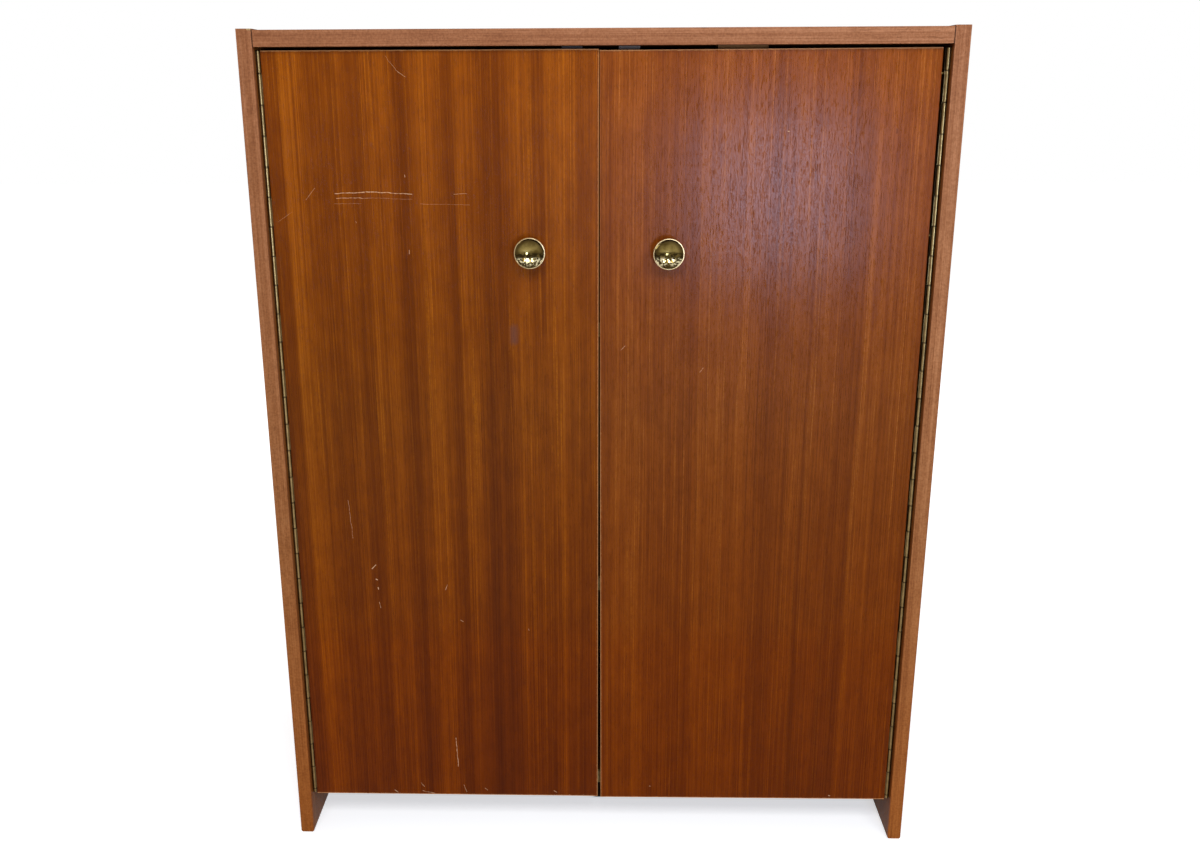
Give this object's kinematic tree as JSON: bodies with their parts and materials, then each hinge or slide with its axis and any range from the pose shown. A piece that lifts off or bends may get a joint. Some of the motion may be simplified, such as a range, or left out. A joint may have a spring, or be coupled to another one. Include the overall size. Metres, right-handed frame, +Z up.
{
  "type": "office cabinet",
  "caption": "Upright wooden office cabinet with veneered sides, a shelved inside and inset doors on brass piano hinges, each with a dished brass knob",
  "frame": {"origin": "on the floor, under the middle of the whole object's width and depth, knobs included", "axes": "+Z up, front with the doors faces -Y, +X to the right seen from the front"},
  "size_m": [0.9, 0.442, 1.15],
  "materials": {
    "door_veneer": "satin lacquered teak-like veneer, grain upright",
    "carcass_veneer": "satin lacquered veneer, grain along the board",
    "lipping": "matt solid wood strip, grain along its length",
    "shelf_lipping": "matt paler solid wood strip",
    "block_wood": "bare pale wood",
    "hardboard": "matt brown hardboard",
    "brass_hinge": "dull aged brass",
    "brass_knob": "polished brass, slightly tarnished",
    "steel": "bright zinc-plated steel",
    "magnet": "dark sintered magnet between pole plates",
    "grey_catch": "moulded light grey plastic",
    "dark_catch": "moulded dark brown plastic"
  },
  "bodies": {
    "carcass": {"back_panel": "hardboard", "back_panel_pins": "steel", "bottom_lipping": "lipping", "bottom_panel": "carcass_veneer", "catch_screws": "steel", "door_stop_block": "block_wood", "door_stop_screws": "steel", "left_catch_housing": "dark_catch", "left_catch_magnet": "magnet", "left_hinge_frame_leaf": "brass_hinge", "left_hinge_frame_screws": "brass_hinge", "left_hinge_pin": "steel", "left_side": "carcass_veneer", "left_side_lipping": "lipping", "lower_shelf": "carcass_veneer", "lower_shelf_lipping": "shelf_lipping", "lower_shelf_pins": "steel", "right_catch_housing": "grey_catch", "right_catch_magnet": "magnet", "right_hinge_frame_leaf": "brass_hinge", "right_hinge_frame_screws": "brass_hinge", "right_hinge_pin": "steel", "right_side": "carcass_veneer", "right_side_lipping": "lipping", "top_lipping": "lipping", "top_panel": "carcass_veneer", "upper_shelf": "carcass_veneer", "upper_shelf_lipping": "shelf_lipping", "upper_shelf_pins": "steel"},
    "left_door": {"left_door": "door_veneer", "left_hinge_door_leaf": "brass_hinge", "left_hinge_door_screws": "brass_hinge", "left_knob_dish": "brass_knob", "left_knob_stem": "brass_knob", "left_knob_screw": "steel", "left_strike_plate": "steel", "left_strike_screw": "steel"},
    "right_door": {"right_door": "door_veneer", "right_hinge_door_leaf": "brass_hinge", "right_hinge_door_screws": "brass_hinge", "right_knob_dish": "brass_knob", "right_knob_stem": "brass_knob", "right_knob_screw": "steel", "right_strike_plate": "steel", "right_strike_screw": "steel"}
  },
  "joints": [
    {"name": "left_door_swing", "type": "hinge", "parent": "carcass", "child": "left_door", "pos_m": [-0.428, -0.197, 0.593], "axis": [0, 0, -1], "range_deg": [0, 100]},
    {"name": "right_door_swing", "type": "hinge", "parent": "carcass", "child": "right_door", "pos_m": [0.428, -0.197, 0.593], "axis": [0, 0, 1], "range_deg": [0, 100]}
  ]
}
